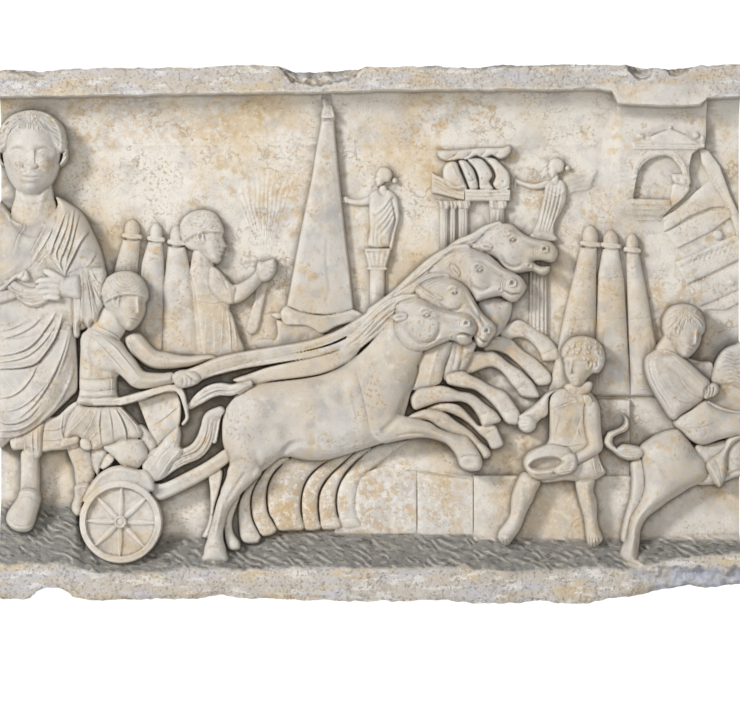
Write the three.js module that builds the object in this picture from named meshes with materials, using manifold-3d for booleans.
// A marble relief plaque: a slab with a broken-edged ledge above, a sloping ground below and a chariot race carved between them.
// Millimetres, +Z up. The origin is the centre of the flat back face, and the carving faces -Y.
import * as THREE from "three";
import { mergeVertices } from "three/addons/utils/BufferGeometryUtils.js";
import Module from "manifold-3d";

const wasm = await Module();
wasm.setup();

// The block that the plaque is carved from.
const block = {
  width: 696, // cut square at both ends
  height: 506,
  slab: 45, // from the flat back to the field behind the figures
  relief: 48, // from the field to the front of the block
};

// The ledge along the top and the ground along the bottom.
const ledge = { height: 32, projection: 42, hollow: 42, hollowSteps: 5 };
const ground = { bandHeight: 33, projection: 46, rise: 35.8 };

// Everything is drawn on one squared sheet: columns run from the left end and rows run down.
// Depths above the field are in steps, of which the whole relief has reliefSteps.
const sheet = { square: 0.94, groundRow: 530, reliefSteps: 48 };
const bare = [0, 0]; // ends of a form that are cut straight, or hidden in its neighbours
const hiddenStart = [0, 0.7];
const sink = 12; // how far each carved form reaches back into the slab, to be one piece with it

const left = -block.width / 2;
const bottom = -block.height / 2;
const top = block.height / 2;
const groundLine = bottom + ground.bandHeight + ground.rise;
const fieldY = -block.slab;
const depth = (steps) => (steps / sheet.reliefSteps) * block.relief;

// A figure's own frame: where its drawn foot stands on the plaque, and how large it is carved.
function frameOf({ drawnFoot, drawnHeight, fromLeft, aboveGround, height }) {
  const scale = height / drawnHeight;
  return {
    scale,
    x: (column) => left + fromLeft + (column - drawnFoot[0]) * scale,
    z: (row) => groundLine + aboveGround + (drawnFoot[1] - row) * scale,
  };
}

// Scenery stands on the ground line at the sheet's own scale.
const scenery = frameOf({
  drawnFoot: [0, sheet.groundRow],
  drawnHeight: 1,
  fromLeft: 0,
  aboveGround: 0,
  height: sheet.square,
});

function solidOf(geometry) {
  const bare = geometry.index ? geometry.toNonIndexed() : geometry.clone();
  for (const name of Object.keys(bare.attributes)) {
    if (name !== "position") bare.deleteAttribute(name);
  }
  const merged = mergeVertices(bare, 1e-4);
  const triVerts = new Uint32Array(merged.index.array);
  const vertProperties = merged.attributes.position.array;
  const solid = new wasm.Manifold(new wasm.Mesh({ numProp: 3, vertProperties, triVerts }));
  if (solid.volume() >= 0) return solid;
  const turned = triVerts.map((v, i) => triVerts[i % 3 === 1 ? i + 1 : i % 3 === 2 ? i - 1 : i]);
  return new wasm.Manifold(new wasm.Mesh({ numProp: 3, vertProperties, triVerts: turned }));
}

// Joins rings of points, each ring with as many points as the next, into one closed body.
function loft(rings) {
  const count = rings[0].length;
  const corners = [];
  const face = (...points) => points.forEach((p) => corners.push(...p));
  for (let i = 0; i + 1 < rings.length; i += 1) {
    for (let j = 0; j < count; j += 1) {
      const k = (j + 1) % count;
      face(rings[i][j], rings[i][k], rings[i + 1][k]);
      face(rings[i][j], rings[i + 1][k], rings[i + 1][j]);
    }
  }
  const last = rings.length - 1;
  for (let j = 1; j + 1 < count; j += 1) {
    face(rings[0][0], rings[0][j + 1], rings[0][j]);
    face(rings[last][0], rings[last][j], rings[last][j + 1]);
  }
  const geometry = new THREE.BufferGeometry();
  geometry.setAttribute("position", new THREE.Float32BufferAttribute(corners, 3));
  return geometry;
}

// A rounded form along a line of stations [column, row, half width, depth step], standing out of the slab.
// crown is how much of the half width is rounded over, and facets is how many flats the round has.
// ends says how far the first and last stations are rounded off, as shares of their half width.
function limb(frame, stations, { crown = 0.8, facets = 2, ends = [0.7, 0.7] } = {}) {
  const places = stations.map(([column, row, half, steps]) => ({
    at: new THREE.Vector2(frame.x(column), frame.z(row)),
    half: half * frame.scale,
    height: depth(steps),
    rise: 1,
  }));
  const first = places[0];
  const last = places[places.length - 1];
  const startWay = first.at.clone().sub(places[1].at).normalize();
  const endWay = last.at.clone().sub(places[places.length - 2].at).normalize();
  const capOf = (place, way, share) => ({
    ...place,
    at: place.at.clone().addScaledVector(way, place.half * share),
    half: place.half * Math.sqrt(1 - share * share),
    rise: Math.sqrt(1 - share * share),
  });
  if (ends[0] > 0) places.unshift(capOf(first, startWay, ends[0]));
  if (ends[1] > 0) places.push(capOf(last, endWay, ends[1]));
  const rings = places.map((place, i) => {
    const before = places[Math.max(0, i - 1)].at;
    const after = places[Math.min(places.length - 1, i + 1)].at;
    const along = after.clone().sub(before).normalize();
    const side = new THREE.Vector2(-along.y, along.x);
    const round = Math.min(place.half * crown, place.height * 0.9);
    const point = (across, height) => {
      const p = place.at.clone().addScaledVector(side, across);
      return [p.x, fieldY - height, p.y];
    };
    const ring = [point(place.half, -sink)];
    for (let k = 0; k <= facets; k += 1) {
      const angle = (Math.PI * k) / facets;
      const height = place.height - round + round * place.rise * Math.sin(angle);
      ring.push(point(place.half * Math.cos(angle), height));
    }
    ring.push(point(-place.half, -sink));
    return ring;
  });
  return loft(rings);
}

// A flat-faced form with a drawn outline, such as a wall, a step or a panel.
function panel(frame, outline, steps) {
  const shape = new THREE.Shape(outline.map(([c, r]) => new THREE.Vector2(frame.x(c), frame.z(r))));
  const geometry = new THREE.ExtrudeGeometry(shape, { depth: depth(steps) + sink, bevelEnabled: false });
  return geometry.rotateX(Math.PI / 2).translate(0, fieldY + sink, 0);
}

// The slab with its ledge, the hollow under the ledge, the sloping ground and the front band, in one profile.
function slabProfile() {
  const shape = new THREE.Shape();
  shape.moveTo(0, bottom);
  shape.lineTo(block.slab + ground.projection, bottom);
  shape.lineTo(block.slab + ground.projection, bottom + ground.bandHeight);
  shape.lineTo(block.slab, groundLine);
  const hollowTop = top - ledge.height;
  shape.lineTo(block.slab, hollowTop - ledge.hollow);
  for (let i = 1; i <= ledge.hollowSteps; i += 1) {
    const angle = ((i / ledge.hollowSteps) * Math.PI) / 2;
    const out = ledge.projection * 0.8 * (1 - Math.cos(angle));
    shape.lineTo(block.slab + out, hollowTop - ledge.hollow * (1 - Math.sin(angle)));
  }
  shape.lineTo(block.slab + ledge.projection, hollowTop);
  shape.lineTo(block.slab + ledge.projection, top);
  shape.lineTo(0, top);
  const geometry = new THREE.ExtrudeGeometry(shape, { depth: block.width, bevelEnabled: false });
  // The shape's X is the way out of the wall and its Y is up; the extrusion runs along the plaque.
  const turn = new THREE.Matrix4().makeBasis(
    new THREE.Vector3(0, -1, 0),
    new THREE.Vector3(0, 0, 1),
    new THREE.Vector3(-1, 0, 0),
  );
  return geometry.applyMatrix4(turn).translate(block.width / 2, 0, 0);
}

// The broken top and bottom edges, as [share of the width, bite into the block].
const topEdge = [
  [0, 6], [0.06, 7], [0.15, 5], [0.18, 4], [0.25, 4], [0.34, 1], [0.375, 3], [0.4, 7], [0.46, 6],
  [0.5, 2], [0.64, 3], [0.69, 1], [0.84, 0], [0.86, 3], [0.92, 3], [0.98, 0], [1, 1],
];
const bottomEdge = [
  [0, 3], [0.04, 4], [0.05, 13], [0.07, 15], [0.1, 6], [0.25, 5], [0.3, 8], [0.33, 5], [0.43, 3],
  [0.53, 3], [0.6, 4], [0.65, 1], [0.75, 0], [0.8, 1], [0.85, 7], [0.93, 16], [1, 17],
];

function brokenOutline() {
  const shape = new THREE.Shape([
    ...topEdge.map(([share, bite]) => new THREE.Vector2(left + share * block.width, top - bite)),
    ...bottomEdge.toReversed().map(([share, bite]) => new THREE.Vector2(left + share * block.width, bottom + bite)),
  ]);
  const geometry = new THREE.ExtrudeGeometry(shape, { depth: block.slab + block.relief, bevelEnabled: false });
  return geometry.rotateX(Math.PI / 2);
}

// Chips broken off the front of the ledge, as [share of the width, half width, height, bite back from the front].
const chips = [
  [0.435, 42, 14, 24],
  [0.873, 12, 12, 20],
  [0.935, 24, 8, 18],
];

function chipSolid([share, half, height, bite]) {
  const shape = new THREE.Shape([
    new THREE.Vector2(-half, 1),
    new THREE.Vector2(-half * 0.4, -height * 0.8),
    new THREE.Vector2(half * 0.3, -height),
    new THREE.Vector2(half, 1),
  ]);
  const geometry = new THREE.ExtrudeGeometry(shape, { depth: bite + block.relief, bevelEnabled: false });
  return geometry
    .rotateX(Math.PI / 2)
    .translate(left + share * block.width, fieldY - ledge.projection + bite, top - 4);
}

// The boundary posts: three tall cones with an egg on each.
function posts(cones) {
  return cones.map(({ egg, foot, half, steps }) => {
    const profile = [[-8, 3], [-2, 6.5], [5, 5.5], [7, 9.5], [12, 8]];
    const line = profile.map(([down, wide]) => [egg[0], egg[1] + down, wide, steps - 1]);
    return limb(scenery, [...line, [...foot, half, steps]], { ends: bare });
  });
}

const leftPosts = [
  { egg: [132, 226], foot: [120, 356], half: 24, steps: 14 },
  { egg: [155, 229], foot: [152, 356], half: 22, steps: 12 },
  { egg: [176, 232], foot: [181, 356], half: 21, steps: 14 },
];
const rightPosts = [
  { egg: [591, 229], foot: [576, 400], half: 27, steps: 12 },
  { egg: [613, 233], foot: [612, 400], half: 21, steps: 10 },
  { egg: [634, 239], foot: [645, 400], half: 16, steps: 8 },
];

// The obelisk stands on a low base and its point runs up under the ledge.
const obelisk = { tip: [329, 96, 4, 19], shoulder: [328, 118, 7.5, 15], foot: [320, 308, 34.5, 17] };
const obeliskBase = [[289, 319, 10, 13], [320, 324, 10, 14], [360, 316, 10, 13]];
const obeliskRock = [[266, 338, 8, 8], [292, 340, 9, 9], [326, 341, 9, 9]];

function obeliskSolids() {
  return [
    limb(scenery, [obelisk.tip, obelisk.shoulder, obelisk.foot], { crown: 0.2, ends: bare }),
    limb(scenery, obeliskBase),
    limb(scenery, obeliskRock),
  ];
}

// Statues on columns, behind the horses.
const drapedStatue = {
  body: [[384, 166, 4, 9], [384, 176, 7.5, 10], [383, 187, 5, 9], [382, 195, 11, 9], [381, 214, 13, 10], [376, 244, 10, 9]],
  cloak: [[391, 200, 5, 6], [394, 220, 3.5, 6], [390, 240, 2.5, 5]],
  arm: [[372, 195, 5, 7], [358, 200, 3.6, 6], [345, 196, 3, 6]],
  column: [[376, 246, 14, 9], [376, 256, 13, 9], [376, 260, 9, 8], [375, 322, 9.5, 8]],
};
const wingedStatue = {
  body: [[559, 158, 4, 8], [557, 168, 8, 9], [556, 178, 5, 8], [555, 186, 11, 8], [554, 202, 10, 8], [545, 236, 8, 7]],
  arm: [[547, 183, 4, 6], [532, 186, 3, 5], [517, 181, 2.6, 5]],
  wing: [[566, 182, 6, 5], [577, 180, 7, 4], [590, 176, 4, 3]],
  column: [[543, 234, 12, 9], [542, 243, 12, 9], [539, 245, 8, 6], [540, 332, 8.5, 6]],
};
const statueSolids = [drapedStatue, wingedStatue].flatMap((statue) =>
  Object.values(statue).map((part) => limb(scenery, part, { ends: hiddenStart })),
);

// The lap counter: dolphins on a small open pavilion.
const pavilion = {
  front: [[465, 190], [509, 191], [509, 201], [465, 203]],
  side: [[434, 177], [465, 190], [465, 203], [434, 197]],
  frontSteps: 10,
  sideSteps: 7,
  columns: [[441, 12, 4], [455, 12, 5], [463, 13, 9], [498, 13, 9]], // column, capital width, depth step
  columnTop: 200,
  columnFoot: 300,
};
const dolphins = [[[449, 166], [462, 182]], [[463, 163], [474, 185]], [[475, 161], [489, 181]], [[489, 161], [505, 179]]];
const dolphinTails = [[443, 157, 5, 9], [452, 157, 6, 11], [470, 153, 6, 12], [490, 151, 6, 12], [507, 149, 5.5, 11]];

function pavilionSolids() {
  const { columns, columnTop, columnFoot } = pavilion;
  return [
    panel(scenery, pavilion.front, pavilion.frontSteps),
    panel(scenery, pavilion.side, pavilion.sideSteps),
    ...columns.map(([column, wide, steps]) => {
      const profile = [[0, 0.72], [7, 0.66], [9, 0.5], [columnFoot - columnTop, 0.5]];
      const line = profile.map(([down, share]) => [column, columnTop + down, wide * share, steps]);
      return limb(scenery, line, { ends: bare });
    }),
    ...dolphins.map(([[c, r], [c2, r2]]) => limb(scenery, [[c, r, 6, 12], [c2, r2, 5.5, 13]], { ends: hiddenStart })),
    limb(scenery, dolphinTails, { ends: bare }),
  ];
}

// The arched building that hangs from the ledge, and the sloping roofs beside it.
const archBuilding = {
  wall: [[618, 88], [706, 88], [706, 146], [692, 150], [690, 206], [618, 216]],
  flank: [[602, 90], [620, 86], [620, 214], [604, 196]],
  pediment: [[632, 146], [671, 127], [706, 146]],
  cornice: [[632, 146], [706, 146], [706, 150], [632, 150]],
  arch: { centre: [660, 177], radius: 22, foot: 202 },
  steps: [[[628, 201], [664, 201], [664, 207], [628, 207]], [[626, 209], [665, 209], [665, 215], [626, 215]]],
};
const roofs = [
  { outline: [[697, 148], [704, 144], [746, 240], [746, 262]], steps: 8 },
  { outline: [[664, 217], [710, 179], [731, 214], [668, 231]], steps: 5 },
  { outline: [[672, 236], [733, 216], [740, 234], [678, 259]], steps: 4 },
  { outline: [[684, 268], [744, 238], [744, 258], [690, 283]], steps: 5 },
  { outline: [[697, 300], [746, 272], [746, 288], [703, 310]], steps: 4 },
];

function archSolids() {
  const { centre, radius, foot } = archBuilding.arch;
  const shape = new THREE.Shape();
  shape.moveTo(scenery.x(centre[0] - radius), scenery.z(foot));
  shape.lineTo(scenery.x(centre[0] + radius), scenery.z(foot));
  shape.absarc(scenery.x(centre[0]), scenery.z(centre[1]), radius * scenery.scale, 0, Math.PI);
  const hole = new THREE.ExtrudeGeometry(shape, { depth: block.relief, bevelEnabled: false, curveSegments: 8 });
  hole.rotateX(Math.PI / 2).translate(0, fieldY - depth(6), 0);
  const walls = [
    panel(scenery, archBuilding.wall, 14),
    panel(scenery, archBuilding.flank, 8),
    panel(scenery, archBuilding.pediment, 17),
    panel(scenery, archBuilding.cornice, 18),
    ...archBuilding.steps.map((outline) => panel(scenery, outline, 9)),
  ];
  const building = walls.map(solidOf).reduce((all, one) => all.add(one));
  return [building.subtract(solidOf(hole)), ...roofs.map(({ outline, steps }) => solidOf(panel(scenery, outline, steps)))];
}

// The low wall of the race course, behind the horses' legs.
const courseWalls = [
  { outline: [[356, 470], [418, 470], [418, 532], [356, 532]], steps: 5 },
  { outline: [[418, 471], [474, 476], [474, 534], [418, 534]], steps: 7 },
  { outline: [[474, 477], [632, 477], [632, 536], [474, 536]], steps: 4 },
  { outline: [[556, 398], [632, 398], [632, 477], [556, 477]], steps: 4 },
  { outline: [[552, 402], [636, 402], [636, 408], [552, 408]], steps: 8 },
];

// The woman behind the posts, who holds up a palm branch.
const palmBearer = {
  frame: { drawnFoot: [215, 356], drawnHeight: 147, fromLeft: 202, aboveGround: 164, height: 138 },
  head: [[202, 214, 13, 16], [203, 224, 18, 17], [205, 238, 15, 17], [203, 250, 9, 14], [203, 262, 10, 13]],
  body: [[205, 266, 15, 14], [208, 292, 17, 16], [213, 318, 17, 14], [221, 356, 22, 13]],
  upperArm: [[214, 271, 9, 17], [233, 298, 9, 18]],
  forearm: [[233, 298, 9, 18], [258, 277, 6.5, 18], [266, 266, 8, 19]],
  stem: [[251, 329, 5.5, 7], [266, 272, 4, 7]],
};
const palmLeaves = { from: [268, 260], count: 6, firstTip: [238, 176], lastTip: [312, 168], crest: 26, half: 3, steps: 3 };

function palmSolids() {
  const { frame: own, ...parts } = palmBearer;
  const frame = frameOf(own);
  const { from, count, firstTip, lastTip, crest, half, steps } = palmLeaves;
  const leaves = Array.from({ length: count }, (_, i) => {
    const share = i / (count - 1);
    const column = firstTip[0] + (lastTip[0] - firstTip[0]) * share;
    const row = firstTip[1] + (lastTip[1] - firstTip[1]) * share - crest * Math.sin(Math.PI * share);
    return limb(frame, [[...from, 2, steps + 2], [column, row, half, steps]], { ends: bare });
  });
  return [...Object.values(parts).map((part) => limb(frame, part, { ends: hiddenStart })), ...leaves];
}

// The magistrate in a toga, at the left end.
const magistrate = {
  frame: { drawnFoot: [20, 531], drawnHeight: 421, fromLeft: 19, aboveGround: 0, height: 396 },
  head: [[31, 122, 22, 40], [31, 136, 31, 43], [31, 152, 31, 45], [32, 168, 24, 46], [34, 184, 15, 45]],
  nose: [[33, 148, 3, 46], [33, 168, 4.5, 48]],
  ear: [[64, 146, 5, 30], [61, 162, 4, 30]],
  neck: [[33, 180, 17, 36], [34, 214, 22, 33]],
  toga: [[36, 210, 34, 32], [36, 224, 52, 34], [36, 262, 68, 36], [33, 300, 56, 37], [28, 350, 50, 38], [22, 390, 46, 37], [8, 428, 30, 32]],
  tunic: [[18, 420, 22, 30], [24, 456, 17, 27]],
  sleeve: [[90, 262, 16, 33], [92, 296, 12, 31], [90, 328, 9, 27]],
  rightHand: [[18, 280, 12, 42], [34, 294, 13, 43]],
  leftHand: [[68, 287, 10, 43], [48, 286, 9, 45]],
  nearLeg: [[31, 452, 11, 26], [30, 488, 10, 28], [26, 508, 13, 36], [19, 526, 11, 40]],
  farLeg: [[74, 430, 14, 20], [81, 480, 9, 20], [82, 508, 9, 26]],
};
// The toga's folds: from the shoulder to the wrist, down from the wrist, and in rounds over the thigh.
const togaFolds = {
  frame: magistrate.frame,
  shoulder: { count: 4, from: [60, 204], fromEnd: [86, 222], to: [53, 266], toEnd: [66, 274], half: 3.4, steps: 39 },
  sleeve: { count: 3, from: [74, 274], fromEnd: [96, 268], to: [80, 328], toEnd: [97, 326], half: 3.4, steps: 38 },
  rounds: { count: 4, rise: 24, half: 4, steps: 41 },
};

const between = (a, b, share) => [a[0] + (b[0] - a[0]) * share, a[1] + (b[1] - a[1]) * share];

function magistrateSolids() {
  const { frame: own, ...parts } = magistrate;
  const frame = frameOf(own);
  const big = ["head", "toga", "tunic"];
  const solids = Object.entries(parts).map(([name, part]) =>
    limb(frame, part, { facets: big.includes(name) ? 4 : 2, ends: hiddenStart }),
  );
  for (const { count, from, fromEnd, to, toEnd, half, steps } of [togaFolds.shoulder, togaFolds.sleeve]) {
    for (let i = 0; i < count; i += 1) {
      const share = i / (count - 1);
      const start = between(from, fromEnd, share);
      const end = between(to, toEnd, share);
      solids.push(limb(frame, [[...start, half, steps - 2], [...end, half * 0.6, steps]], { ends: bare }));
    }
  }
  const { count, rise, half, steps } = togaFolds.rounds;
  for (let i = 0; i < count; i += 1) {
    const drop = i * rise;
    const line = [[-6, 346 + drop], [24, 338 + drop], [50, 314 + drop * 0.8], [66, 292 + drop * 0.5]];
    solids.push(limb(frame, line.map((p) => [...p, half, steps - i]), { ends: bare }));
  }
  return solids;
}

// The charioteer, in a cap and a tunic bound with straps, and his two arms on the reins.
const charioteer = {
  frame: { drawnFoot: [121, 470], drawnHeight: 200, fromLeft: 114, aboveGround: 56.5, height: 188 },
  head: [[129, 276, 17, 40], [129, 288, 25, 43], [131, 300, 22, 44], [131, 312, 18, 43], [131, 324, 10, 41]],
  nose: [[149, 307, 3, 38], [148, 316, 4, 38]],
  neck: [[117, 318, 13, 35], [107, 344, 15, 34]],
  tunic: [[99, 346, 18, 35], [101, 368, 23, 38], [99, 398, 21, 38], [102, 418, 29, 36], [107, 436, 36, 34]],
  flyingHem: [[88, 422, 10, 32], [70, 440, 9, 30]],
  nearArm: [[104, 348, 14, 38], [128, 378, 13, 43], [154, 387, 8, 44], [180, 379, 7, 44], [192, 377, 8, 44]],
  farArm: [[132, 336, 8, 28], [158, 356, 9, 29], [182, 364, 7.5, 28], [214, 358, 7, 26]],
  thigh: [[112, 440, 16, 34], [134, 454, 15, 36], [140, 462, 13, 34]],
  farThigh: [[140, 424, 8, 24], [156, 452, 7, 22]],
  shin: [[112, 448, 6, 27], [100, 474, 6, 24]],
};
const straps = { left: 78, right: 120, rows: [378, 386, 394], half: 3, steps: 41 };
const rail = [[79, 403, 6, 40], [116, 405, 6.5, 42], [150, 397, 6.5, 43], [180, 388, 6, 43]];
const reins = [
  [[196, 376, 7, 40], [232, 365, 7, 38], [280, 354, 6, 34], [330, 343, 6.5, 32], [372, 322, 8, 32]],
  [[205, 383, 5, 36], [245, 370, 5, 34], [300, 360, 5, 32], [356, 352, 6, 34]],
];
const skirtFolds = { count: 5, top: [84, 408], topEnd: [114, 408], foot: [80, 436], footEnd: [134, 436], half: 3, steps: 40 };

function charioteerSolids() {
  const { frame: own, ...parts } = charioteer;
  const frame = frameOf(own);
  const solids = Object.entries(parts).map(([name, part]) =>
    limb(frame, part, { facets: name === "tunic" ? 4 : 2, ends: hiddenStart }),
  );
  for (const row of straps.rows) {
    const line = [straps.left, (straps.left + straps.right) / 2, straps.right];
    const band = line.map((c, i) => [c, row + (i === 1 ? 2 : 0), straps.half, straps.steps]);
    solids.push(limb(frame, band, { ends: bare }));
  }
  for (let i = 0; i < skirtFolds.count; i += 1) {
    const share = i / (skirtFolds.count - 1);
    const { top: a, topEnd: b, foot: c, footEnd: d, half, steps } = skirtFolds;
    const line = [[...between(a, b, share), half * 0.6, steps], [...between(c, d, share), half, steps - 2]];
    solids.push(limb(frame, line, { ends: bare }));
  }
  for (const line of [rail, ...reins]) solids.push(limb(frame, line, { ends: bare }));
  return solids;
}

// The chariot: a spoked wheel standing on the ground's edge, a curved car and a draught pole.
const chariot = {
  wheelCentre: { fromLeft: 113.7, aboveGround: 6.5 },
  wheelRadius: 39,
  rim: 5.6,
  hub: 6.6,
  spokes: 8,
  spokeHalf: 2.1,
  rimSteps: 46,
  webSteps: 39,
  hubSteps: 47,
  car: [[150, 426], [178, 406], [187, 400], [188, 440], [184, 460], [166, 484], [150, 488], [136, 474]],
  carSteps: 34,
  carFront: [[176, 389, 5, 42], [184, 400, 4.5, 41], [186, 430, 5, 40], [182, 456, 6, 40]],
  guard: [[88, 494, 6, 42], [100, 475, 7, 43], [122, 467, 8, 43], [144, 472, 9, 42], [158, 490, 7, 38]],
  floor: [[146, 470, 8, 40], [168, 464, 7, 40], [184, 456, 7, 39]],
  pole: [[158, 495, 6, 32], [190, 478, 6, 32], [229, 456, 6.5, 32]],
  support: [[100, 562, 8, 44], [144, 562, 8, 44]],
};

function chariotSolids() {
  const frame = scenery;
  const { wheelCentre, wheelRadius, rim, hub, spokes, spokeHalf } = chariot;
  const x = left + wheelCentre.fromLeft;
  const z = groundLine + wheelCentre.aboveGround;
  const disc = (radius, steps, inner) => {
    const shape = new THREE.Shape().absarc(0, 0, radius, 0, Math.PI * 2);
    if (inner) shape.holes.push(new THREE.Path().absarc(0, 0, inner, 0, Math.PI * 2));
    const settings = { depth: depth(steps) + sink, bevelEnabled: false, curveSegments: 10 };
    const geometry = new THREE.ExtrudeGeometry(shape, settings);
    return geometry.rotateX(Math.PI / 2).translate(x, fieldY + sink, z);
  };
  const wheel = [
    disc(wheelRadius, chariot.rimSteps, wheelRadius - rim),
    disc(wheelRadius - rim / 2, chariot.webSteps),
    disc(hub, chariot.hubSteps),
  ];
  const around = { scale: 1, x: (across) => x + across, z: (down) => z - down };
  for (let i = 0; i < spokes; i += 1) {
    const angle = (i / spokes) * Math.PI * 2;
    const at = (radius, half, steps) => [radius * Math.cos(angle), radius * Math.sin(angle), half, steps];
    const line = [at(hub * 0.6, spokeHalf, 43), at(wheelRadius * 0.45, spokeHalf * 1.5, 43.5), at(wheelRadius - rim / 2, spokeHalf * 0.7, 42.5)];
    wheel.push(limb(around, line, { ends: bare }));
  }
  const body = [chariot.carFront, chariot.guard, chariot.floor, chariot.pole, chariot.support];
  const rails = body.map((part) => limb(frame, part, { ends: bare }));
  return [...wheel, panel(frame, chariot.car, chariot.carSteps), ...rails];
}

// The four horses. The nearest is whole, and the others show behind it as heads, necks, chests and legs.
const team = {
  frame: { drawnFoot: [214, 560], drawnHeight: 335, fromLeft: 201, aboveGround: -28.2, height: 315 },
  barrel: [[258, 414, 31, 41], [296, 416, 39, 42], [334, 412, 46, 40], [366, 404, 47, 41], [384, 402, 34, 41]],
  neck: [[372, 388, 36, 40], [390, 354, 30, 42], [404, 326, 22, 43]],
  head: [[408, 320, 19, 44], [432, 323, 17, 46], [452, 327, 13.5, 45], [466, 330, 12.5, 44]],
  hindLeg: [[258, 404, 30, 42], [254, 440, 30, 43], [250, 466, 19, 42], [234, 490, 11, 40], [216, 520, 7.5, 42], [213, 546, 8.5, 43], [215, 557, 11.5, 45]],
  foreleg: [[384, 430, 15, 40], [412, 430, 11, 42], [434, 430, 8.5, 43], [460, 444, 8, 42], [474, 464, 10.5, 40]],
  tail: [[246, 383, 4, 40], [230, 389, 7, 38], [214, 391, 7, 38], [200, 402, 6, 37], [188, 414, 4, 34]],
  secondTail: [[222, 414, 5, 34], [211, 428, 8, 36], [204, 446, 8, 37], [188, 460, 8, 38], [166, 467, 7, 38]],
};
const otherHeads = [
  [[440, 292, 18, 36], [462, 300, 17, 38], [478, 315, 12, 38], [486, 331, 11.5, 37]],
  [[464, 266, 21, 31], [484, 272, 19, 34], [502, 281, 14.5, 33], [513, 286, 13.5, 32]],
  [[498, 245, 22, 28], [519, 250, 19.5, 30], [537, 254, 13.5, 29], [548, 255, 11.5, 28]],
];
const otherNecks = [
  [[440, 292, 17, 34], [420, 300, 16, 35], [400, 320, 15, 36]],
  [[462, 262, 17, 30], [440, 275, 18, 31], [415, 298, 17, 31], [388, 322, 13, 32]],
  [[498, 240, 17, 26], [480, 250, 14, 26], [462, 262, 12, 27]],
];
const otherChests = [
  [[442, 340, 12, 30], [434, 390, 14, 30]],
  [[464, 340, 11, 25], [462, 376, 10, 24]],
  [[492, 300, 17, 22], [496, 322, 18, 22]],
];
const otherForelegs = [
  [[420, 412, 9, 34], [442, 417, 8.5, 37], [466, 432, 8, 38], [489, 452, 8, 38]],
  [[440, 406, 6, 25], [458, 409, 6, 27], [477, 424, 6, 28], [496, 446, 6.5, 28]],
  [[430, 394, 16, 30], [466, 396, 11, 32], [486, 408, 11, 33], [497, 420, 9, 32]],
  [[450, 375, 9, 28], [470, 380, 9, 31], [496, 397, 9.5, 32], [513, 417, 8.5, 31]],
  [[468, 362, 10, 14], [490, 359, 9, 16], [512, 375, 9, 15], [529, 390, 10, 14]],
  [[498, 343, 9, 12], [513, 347, 8.5, 13], [534, 365, 8, 12], [546, 380, 8, 11]],
  [[506, 330, 8, 10], [521, 328, 8.5, 11], [541, 340, 8.5, 10], [554, 356, 8, 9]],
];
// The far horses' hind legs stand one behind another, each a little lower than the last.
const hindLegs = { count: 6, first: [276, 462], knee: [252, 503], foot: [252, 538], step: 19.6, lift: 3, half: 10, steps: 15, fall: 1.4 };

function teamSolids() {
  const { frame: own, ...parts } = team;
  const frame = frameOf(own);
  const big = ["barrel", "neck", "hindLeg"];
  const solids = Object.entries(parts).map(([name, part]) =>
    limb(frame, part, { facets: big.includes(name) ? 4 : 2, ends: name === "barrel" ? [0.7, 0.7] : hiddenStart }),
  );
  for (const part of [...otherHeads, ...otherForelegs]) solids.push(limb(frame, part, { ends: hiddenStart }));
  for (const part of [...otherNecks, ...otherChests]) solids.push(limb(frame, part, { ends: bare }));
  const { count, first, knee, foot, step, lift, half, steps, fall } = hindLegs;
  for (let i = 0; i < count; i += 1) {
    const line = [first, knee, foot].map(([c, r], j) => [
      c + i * step,
      r - (j === 2 ? i * lift : 0),
      half,
      steps - i * fall,
    ]);
    solids.push(limb(frame, line, { crown: 0.3, ends: hiddenStart }));
  }
  return solids;
}

// The boy with a bowl, at the horses' feet.
const boy = {
  frame: { drawnFoot: [552, 545], drawnHeight: 206, fromLeft: 519, aboveGround: -14, height: 193.6 },
  head: [[582, 347, 13, 36], [581, 357, 20, 38], [580, 368, 18, 40], [574, 379, 9, 38]],
  neck: [[578, 380, 11, 32], [577, 398, 13, 32]],
  torso: [[573, 396, 19, 33], [573, 406, 24, 35], [572, 428, 22, 37], [575, 452, 21, 36], [577, 475, 28, 34]],
  upperArm: [[590, 406, 12, 36], [597, 446, 9.5, 39]],
  forearm: [[597, 446, 9.5, 39], [578, 457, 7.5, 42], [564, 464, 8.5, 43]],
  farArm: [[555, 402, 10.5, 32], [532, 412, 8.5, 31], [528, 422, 8.5, 32]],
  nearLeg: [[534, 476, 11, 32], [523, 500, 9, 32], [515, 522, 7.5, 31], [509, 537, 6, 35]],
  farLeg: [[588, 478, 10, 31], [588, 505, 9.5, 31], [592, 526, 7, 33], [595, 541, 7, 38]],
};
const bowl = { centre: [547, 463], half: 16, tilt: 9, steps: 43, hollow: 36, wall: 3.5 };

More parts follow.
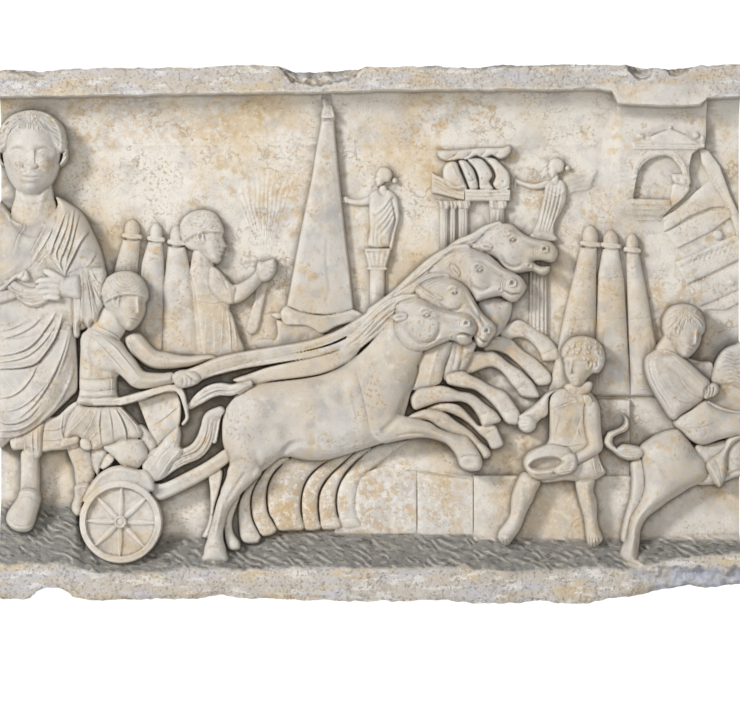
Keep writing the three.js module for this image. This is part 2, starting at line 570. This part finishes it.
function boySolids() {
  const { frame: own, ...parts } = boy;
  const frame = frameOf(own);
  const solids = Object.entries(parts).map(([name, part]) =>
    solidOf(limb(frame, part, { facets: name === "torso" ? 4 : 2, ends: hiddenStart })),
  );
  const { centre, half, tilt, steps, hollow, wall } = bowl;
  const ends = [[centre[0] - tilt, centre[1] + 2], [centre[0] + tilt, centre[1] - 1]];
  const outside = solidOf(limb(frame, ends.map((p) => [...p, half, steps]), { crown: 0.5, facets: 3 }));
  const shape = new THREE.Shape();
  shape.absellipse(frame.x(centre[0]), frame.z(centre[1] - 2), (half + tilt - wall) * frame.scale, (half - wall * 2) * frame.scale, 0, Math.PI * 2);
  const inside = new THREE.ExtrudeGeometry(shape, { depth: block.relief, bevelEnabled: false, curveSegments: 6 });
  inside.rotateX(Math.PI / 2).translate(0, fieldY - depth(hollow), 0);
  const body = [...solids, outside].reduce((all, one) => all.add(one));
  const hand = solidOf(limb(frame, boy.forearm, { ends: hiddenStart }));
  return [body.subtract(solidOf(inside)).add(hand)];
}

// The outrider on horseback, whose horse runs out past the right end.
const outrider = {
  frame: { drawnFoot: [634, 566], drawnHeight: 263, fromLeft: 596, aboveGround: -33.8, height: 247.2 },
  head: [[686, 310, 15, 39], [685, 322, 22, 42], [686, 334, 20, 43], [690, 348, 10, 41]],
  neck: [[677, 340, 14, 33], [667, 362, 17, 35]],
  chest: [[662, 358, 17, 36], [668, 376, 22, 38], [682, 402, 21, 37], [698, 418, 19, 37]],
  arm: [[680, 360, 14, 38], [700, 384, 13, 42], [712, 394, 7, 38]],
  farArm: [[694, 360, 9, 26], [714, 376, 9, 26]],
  thigh: [[690, 428, 15, 40], [716, 430, 16, 43], [746, 420, 15, 42]],
  shin: [[744, 438, 11, 38], [722, 460, 9, 38], [714, 470, 8, 38], [718, 482, 5, 37]],
  horseNeck: [[746, 392, 22, 30], [734, 362, 19, 29]],
  belly: [[680, 458, 26, 37], [720, 456, 25, 33], [750, 450, 26, 32]],
  hindLeg: [[674, 440, 20, 39], [668, 460, 30, 42], [656, 490, 19, 41], [644, 514, 11, 40], [637, 534, 8, 42], [634, 560, 8.5, 46]],
  tail: [[641, 452, 8, 36], [626, 452, 9, 36], [610, 444, 6, 32], [616, 434, 4, 24], [628, 426, 3, 14]],
  farLeg: [[637, 466, 6, 30], [635, 488, 6, 30], [629, 508, 5, 28], [626, 545, 5, 28]],
};

function outriderSolids() {
  const { frame: own, ...parts } = outrider;
  const frame = frameOf(own);
  const big = ["chest", "hindLeg", "thigh"];
  return Object.entries(parts).map(([name, part]) =>
    limb(frame, part, { facets: big.includes(name) ? 4 : 2, ends: hiddenStart }),
  );
}

const asSolids = (geometries) => geometries.map(solidOf);
const carving = [
  ...asSolids(posts(leftPosts)),
  ...asSolids(posts(rightPosts)),
  ...asSolids(obeliskSolids()),
  ...asSolids(statueSolids),
  ...asSolids(pavilionSolids()),
  ...archSolids(),
  ...asSolids(courseWalls.map(({ outline, steps }) => panel(scenery, outline, steps))),
  ...asSolids(palmSolids()),
  ...asSolids(magistrateSolids()),
  ...asSolids(charioteerSolids()),
  ...asSolids(chariotSolids()),
  ...asSolids(teamSolids()),
  ...boySolids(),
  ...asSolids(outriderSolids()),
];

// Nothing stands outside the block it was carved from.
const stone = carving
  .reduce((all, one) => all.add(one), solidOf(slabProfile()))
  .intersect(solidOf(brokenOutline()));
const plaqueSolid = chips.reduce((all, chip) => all.subtract(solidOf(chipSolid(chip))), stone);

function geometryOf(solid) {
  const mesh = solid.getMesh();
  const geometry = new THREE.BufferGeometry();
  geometry.setAttribute("position", new THREE.BufferAttribute(new Float32Array(mesh.vertProperties), 3));
  geometry.setIndex(new THREE.BufferAttribute(new Uint32Array(mesh.triVerts), 1));
  geometry.computeVertexNormals();
  return geometry;
}

const marble = new THREE.MeshStandardMaterial({ color: 0xd9cfb8, roughness: 0.62, metalness: 0 });

const plaque = new THREE.Mesh(geometryOf(plaqueSolid), marble);
plaque.name = "relief_plaque";

const group = new THREE.Group();
group.add(plaque);

export default group;
